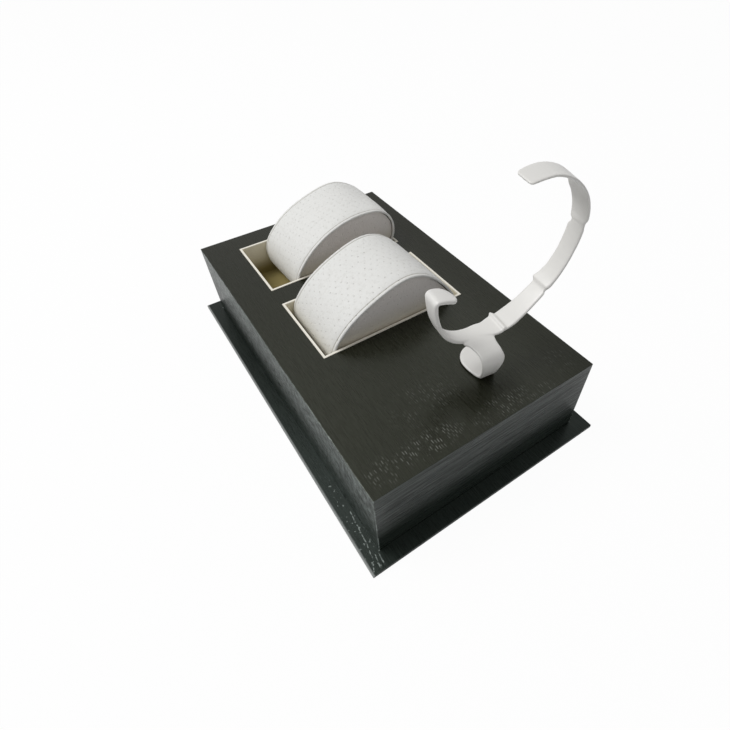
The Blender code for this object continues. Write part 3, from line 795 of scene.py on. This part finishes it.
def half_moon(shape):
    """Outline of a pillow's end before it is placed, anticlockwise from the right underside."""
    spread_angle = math.asin((shape.half_width - shape.end) / (shape.arch - shape.end))
    centre_x = (shape.arch - shape.end) * math.sin(spread_angle)
    centre_z = (shape.arch - shape.end) * math.cos(spread_angle) - shape.arch
    upright = math.pi / 2
    right = arc(centre_x, centre_z, shape.end, -upright, upright - spread_angle, PROFILE_STEPS)
    first, last = upright - spread_angle, upright + spread_angle
    top = arc(0.0, -shape.arch, shape.arch, first, last, 2 * PROFILE_STEPS)
    left = [(-x, z, -across, up) for x, z, across, up in reversed(right)]
    underside = centre_z - shape.end
    under_steps = [2 * i / PROFILE_STEPS - 1 for i in range(1, PROFILE_STEPS)]
    under = [(centre_x * share, underside, 0.0, -1.0) for share in under_steps]
    crowned = []
    for x, z, across, up in right + top[1:-1] + left + under:
        bulge = shape.crown * math.exp(-((x - shape.crown_at) / shape.crown_spread) ** 2) * (1 + up) / 2
        crowned.append((x + bulge * across, z + bulge * up))
    return crowned


def pillow_outline(shape):
    """A pillow's end where it lies, pressed flat by the pocket's floor and its right wall."""
    turn = math.radians(shape.tilt)
    placed = []
    for x, z in half_moon(shape):
        world_x = shape.x + x * math.cos(turn) - z * math.sin(turn)
        world_z = TRAY_HEIGHT + shape.top + x * math.sin(turn) + z * math.cos(turn)
        over = max(world_x - POCKET_WALL, 0.0)
        free = min(max((world_z - TRAY_HEIGHT - BULGE_START) / BULGE_HEIGHT, 0.0), 1.0)
        pressed = over * (1 - free ** 2 * (3 - 2 * free))
        placed.append((world_x - pressed, max(world_z, POCKET_FLOOR)))
    return placed


def moved_in(points, distances):
    """Closed anticlockwise outline moved inwards, by its own distance at each point."""
    moved = []
    count = len(points)
    for i, (x, z) in enumerate(points):
        before = points[i - 1]
        after = points[(i + 1) % count]
        along = Vector((after[0] - before[0], after[1] - before[1])).normalized()
        moved.append((x - along.y * distances[i], z + along.x * distances[i]))
    return moved


def puffed(x, y, z, share):
    """How far the stuffing pushes the band out between its seams."""
    place = Vector((x, y, z))
    soft = fine_noise.noise(place * 45.0) + 0.5 * fine_noise.noise(place * 110.0)
    return PUFF * math.sin(math.pi * share) ** 0.6 * (0.55 + 0.45 * soft)


def above_pocket(z):
    """Nought inside the pocket and one above it, so that a pillow doesn't swell into the liner."""
    return min(max((z - TRAY_HEIGHT - BULGE_START) / PUFF_HEIGHT, 0.0), 1.0)


def band_section():
    """Y and depth across the band: its outside from the near lip to the far one, then its inside."""
    edge = [(0.0, 0.95), (0.0, 0.6), (0.12, 0.28), (0.38, 0.08), (0.8, 0.0), (1.35, 0.0)]
    seam = [(-0.3, 0.3), (-0.12, 0.85), (0.0, 1.0), (0.12, 0.85), (0.3, 0.3)]
    near = [(y * MM, depth * MM) for y, depth in edge]
    near += [(SEAM_IN + y * MM, depth * SEAM_DEPTH) for y, depth in seam]
    first = SEAM_IN + 0.6 * MM
    last = PILLOW_LENGTH - first
    middle = [(first + (last - first) * i / BAND_ROWS, 0.0) for i in range(BAND_ROWS + 1)]
    far = [(PILLOW_LENGTH - y, depth) for y, depth in reversed(near)]
    quarters = [PILLOW_LENGTH * i / 4 for i in (3, 2, 1)]
    inside = [(y, BAND_SKIN) for y in (PILLOW_LENGTH - 0.1 * MM, *quarters, 0.1 * MM)]
    return near + middle + far, inside


def blended_outline(near_end, far_end, share):
    shape = PillowEnd(*(a + (b - a) * share for a, b in zip(near_end, far_end)))
    return pillow_outline(shape)


def mark_surface(item, values):
    """Store where each point lies on the leatherette, and one on a band, nought on a panel."""
    layer = item.data.attributes.new("surface", "FLOAT_VECTOR", "POINT")
    for point, value in zip(layer.data, values):
        point.vector = value


def lengths_along(outline):
    """Length round the outline at each point, from its first."""
    travelled = [0.0]
    for before, after in zip(outline, outline[1:]):
        travelled.append(travelled[-1] + math.dist(before, after))
    return travelled


def make_pillow_band(name, node, near_y, near_end, far_end, finish):
    outside, inside = band_section()
    loops = []
    surface = []
    for number, (y, depth) in enumerate(outside + inside):
        share = y / PILLOW_LENGTH
        outline = blended_outline(near_end, far_end, share)
        depths = [depth] * len(outline)
        from_seam = min(y, PILLOW_LENGTH - y) - SEAM_IN
        if number < len(outside) and from_seam > SEAM_HALF:
            inner_share = (y - SEAM_IN) / (PILLOW_LENGTH - 2 * SEAM_IN)
            depths = [-puffed(x, y, z, inner_share) * above_pocket(z) for x, z in outline]
        points = moved_in(outline, depths)
        loops.append([(x, near_y + y, z) for x, z in points])
        surface += [(along, y, 1.0) for along in lengths_along(outline)]
    shape = bmesh.new()
    bridge(shape, loops, True)
    band = link_mesh(name, shape, finish, BAND_SHARP_ANGLE)
    mark_surface(band, surface)
    declare(band, node)


def make_pillow_panel(name, node, near_y, near_end, far_end, side, finish):
    """Half-moon panel that is let into the band's end and swells a little between its edges."""
    outer = PANEL_RECESS if side < 0 else PILLOW_LENGTH - PANEL_RECESS
    inner = outer - side * PANEL_SKIN
    outline = blended_outline(near_end, far_end, outer / PILLOW_LENGTH)
    gap = BAND_SKIN + LINING_GAP
    edge = moved_in(outline, [gap] * len(outline))
    middle_x = sum(x for x, _ in edge) / len(edge)
    middle_z = sum(z for _, z in edge) / len(edge)
    back = moved_in(blended_outline(near_end, far_end, inner / PILLOW_LENGTH), [gap] * len(outline))
    loops = [[(x, near_y + inner, z) for x, z in back]]
    surface = [(x, z, 0.0) for x, z in back]
    for size in PANEL_LOOPS:
        loop = []
        for x, z in edge:
            at_x = middle_x + (x - middle_x) * size
            at_z = middle_z + (z - middle_z) * size
            swell = PANEL_SWELL * (1 - size ** 6)
            uneven = fine_noise.noise(Vector((at_x * 70, at_z * 70, near_y * 30)))
            ripple = uneven * PANEL_RIPPLE * (1 - size ** 8)
            loop.append((at_x, near_y + outer + side * (swell + ripple - PANEL_SET_BACK), at_z))
        loops.append(loop)
        surface += [(x, z, 0.0) for x, _, z in loop]
    shape = bmesh.new()
    bridge(shape, loops, False)
    panel = link_mesh(name, shape, finish, PANEL_SHARP_ANGLE)
    mark_surface(panel, surface)
    declare(panel, node)


def make_pillow(name, near_y, near_end, far_end, finish):
    make_pillow_band(f"{name}_cover", f"{name}_band", near_y, near_end, far_end, finish)
    make_pillow_panel(f"{name}_near_side", f"{name}_near_panel", near_y, near_end, far_end, -1, finish)
    make_pillow_panel(f"{name}_far_side", f"{name}_far_panel", near_y, near_end, far_end, 1, finish)


# Watch ring

def ring_point(sideways, forwards, height):
    turn = math.radians(RING_TURN)
    along = Vector((math.cos(turn), math.sin(turn), 0))
    forward = Vector((math.sin(turn), -math.cos(turn), 0))
    return Vector(RING_PLACE) + along * sideways + forward * forwards + Vector((0, 0, height))


def ring_path():
    """Points along the band's middle as length, sideways, height and heading."""
    x, z = HOOK_TIP
    heading = math.radians(HOOK_HEADING)
    travelled = 0.0
    path = [(travelled, x, z, heading)]
    for length, turn in RING_ARCS:
        steps = max(math.ceil(length / RING_STEP), math.ceil(turn / RING_BEND_STEP))
        for _ in range(steps):
            heading += math.radians(turn) / steps / 2
            x += math.cos(heading) * length / steps
            z += math.sin(heading) * length / steps
            heading += math.radians(turn) / steps / 2
            travelled += length / steps
            path.append((travelled, x, z, heading))
    return path


def path_at(path, travelled):
    for before, after in zip(path, path[1:]):
        if after[0] >= travelled:
            share = (travelled - before[0]) / (after[0] - before[0])
            return tuple(a + (b - a) * share for a, b in zip(before, after))
    return path[-1]


def between(value, rows):
    """Straight-line values between rows whose first number is the place."""
    for before, after in zip(rows, rows[1:]):
        if value <= after[0]:
            share = max((value - before[0]) / (after[0] - before[0]), 0.0)
            return [a + (b - a) * share for a, b in zip(before[1:], after[1:])]
    return list(rows[-1][1:])


def end_narrowing(distance, radius):
    """How far the band's sides draw in near an end that is rounded by a radius."""
    if distance >= radius:
        return 0.0
    return radius - math.sqrt(max(radius ** 2 - (radius - distance) ** 2, 0.0))


def rounded_section(low, high, bottom, top):
    """Rounded rectangle across the band or the foot, between two sides and two faces."""
    radius = min((top - bottom) * 0.42, (high - low) * 0.3)
    corners = (
        (high - radius, bottom + radius, -90),
        (high - radius, top - radius, 0),
        (low + radius, top - radius, 90),
        (low + radius, bottom + radius, 180),
    )
    points = []
    for centre_x, centre_y, start in corners:
        for i in range(CORNER_STEPS + 1):
            angle = math.radians(start + 90 * i / CORNER_STEPS)
            points.append((centre_x + radius * math.cos(angle), centre_y + radius * math.sin(angle)))
    return points


def ring_loops():
    path = ring_path()
    total = sum(length for length, _ in RING_ARCS)
    count = math.ceil(total / RING_STEP)
    lengths = [total * i / count for i in range(1, count)]
    ends = [HOOK_NEAR_ROUND * share for share in (0.002, 0.03, 0.1)]
    ends += [total - TOP_END_ROUND * share for share in (0.002, 0.05, 0.2)]
    loops = []
    for travelled in sorted(lengths + ends):
        _, x, z, heading = path_at(path, travelled)
        thickness = RING_HOOK_THICKNESS + (RING_TOP_THICKNESS - RING_HOOK_THICKNESS) * travelled / total
        top_end = end_narrowing(total - travelled, TOP_END_ROUND)
        near_in, far_in, lip = between(travelled / MM, BAND_SIDES)
        near_raised, far_raised = between(travelled / MM, BAND_TWIST)
        far_side = -RING_WIDTH + far_in * MM + top_end + end_narrowing(travelled, HOOK_FAR_ROUND)
        near_side = -near_in * MM - top_end - end_narrowing(travelled, HOOK_NEAR_ROUND)
        section = rounded_section(far_side, near_side, -thickness / 2 - lip * MM, thickness / 2)
        outward = (math.sin(heading), -math.cos(heading))
        loop = []
        for forwards, rise in section:
            share = (forwards - far_side) / (near_side - far_side)
            rise += (far_raised + (near_raised - far_raised) * share) * MM
            loop.append(ring_point(x + outward[0] * rise, forwards - BAND_BACK, z + outward[1] * rise))
        loops.append(loop)
    return loops


def foot_loops():
    stations = [Vector(row) * MM for row in FOOT_PATH]
    rows = []
    for i in range(len(stations) - 1):
        before = stations[max(i - 1, 0)]
        first = stations[i]
        second = stations[i + 1]
        after = stations[min(i + 2, len(stations) - 1)]
        for step in range(FOOT_STEPS):
            t = step / FOOT_STEPS
            rows.append((
                first * 2
                + (second - before) * t
                + (before * 2 - first * 5 + second * 4 - after) * t ** 2
                + (first * 3 - before - second * 3 + after) * t ** 3
            ) / 2)
    rows.append(stations[-1])
    last = rows[-1]
    centre = (last[2] + last[3]) / 2
    half = (last[3] - last[2]) / 2
    for i in range(1, FOOT_END_STEPS):
        share = math.sin(i / FOOT_END_STEPS * math.pi / 2)
        width = half * math.sqrt(1 - share ** 2)
        forwards = last[0] - FOOT_END_LENGTH * share
        rows.append(Vector((forwards, last[1], centre - width, centre + width)))
    loops = []
    for i, row in enumerate(rows):
        before = rows[max(i - 1, 0)]
        after = rows[min(i + 1, len(rows) - 1)]
        along = Vector((after[0] - before[0], after[1] - before[1])).normalized()
        half = FOOT_THICKNESS / 2
        loops.append([
            ring_point(side, row[0] - along.y * rise, row[1] + along.x * rise)
            for side, rise in rounded_section(row[2], row[3], -half, half)
        ])
    return loops


def make_ring(finish):
    """Band and foot joined by remeshing them as one skin, which leaves soft moulded corners."""
    shape = bmesh.new()
    bridge(shape, ring_loops(), False)
    bridge(shape, foot_loops(), False)
    ring = link_mesh("watch_stand", shape, finish, ALL_SMOOTH_ANGLE)
    remesh = ring.modifiers.new("joined", "REMESH")
    remesh.mode = "VOXEL"
    remesh.voxel_size = RING_GRAIN
    remesh.use_smooth_shade = True
    soften = ring.modifiers.new("soften", "SMOOTH")
    soften.factor = 0.5
    soften.iterations = RING_SMOOTHING
    apply_modifiers(ring)
    declare(ring, "watch_ring")


def apply_modifiers(item):
    graph = bpy.context.evaluated_depsgraph_get()
    made = bpy.data.meshes.new_from_object(item.evaluated_get(graph))
    item.modifiers.clear()
    old = item.data
    item.data = made
    bpy.data.meshes.remove(old)


def declare(item, node):
    """The piece rides on the tray and stands in for a CAD node, which is hidden."""
    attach(item, "root")
    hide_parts(node)


def dress(item, finish):
    """Give a CAD node a material in place of the plain one that it carries."""
    item.data.materials.clear()
    item.data.materials.append(finish)


def main():
    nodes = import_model()["nodes"]
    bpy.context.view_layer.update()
    make_camera()
    make_world()
    make_lamp()
    make_floor()

    paper = paper_material()
    board = greyboard_material()
    card = card_material()
    foam = foam_material()
    leatherette = leatherette_material()
    plastic = plastic_material()
    for name in ("bottom_sheet", "base_wrap", "body_wrap"):
        dress(nodes[name], paper)
    for name in ("base_board", "near_wall", "far_wall", "left_wall", "right_wall", "top_board"):
        dress(nodes[name], board)
    for name in ("near_liner", "far_liner"):
        dress(nodes[name], card)
    for name in ("near_pillow_core", "far_pillow_core"):
        dress(nodes[name], foam)
    make_pillow("near_pillow", NEAR_PILLOW_Y, NEAR_PILLOW_END, NEAR_PILLOW_END, leatherette)
    make_pillow("far_pillow", FAR_PILLOW_Y, FAR_PILLOW_NEAR_END, FAR_PILLOW_FAR_END, leatherette)
    make_ring(plastic)


main()
bpy.context.scene.view_settings.view_transform = "Standard"
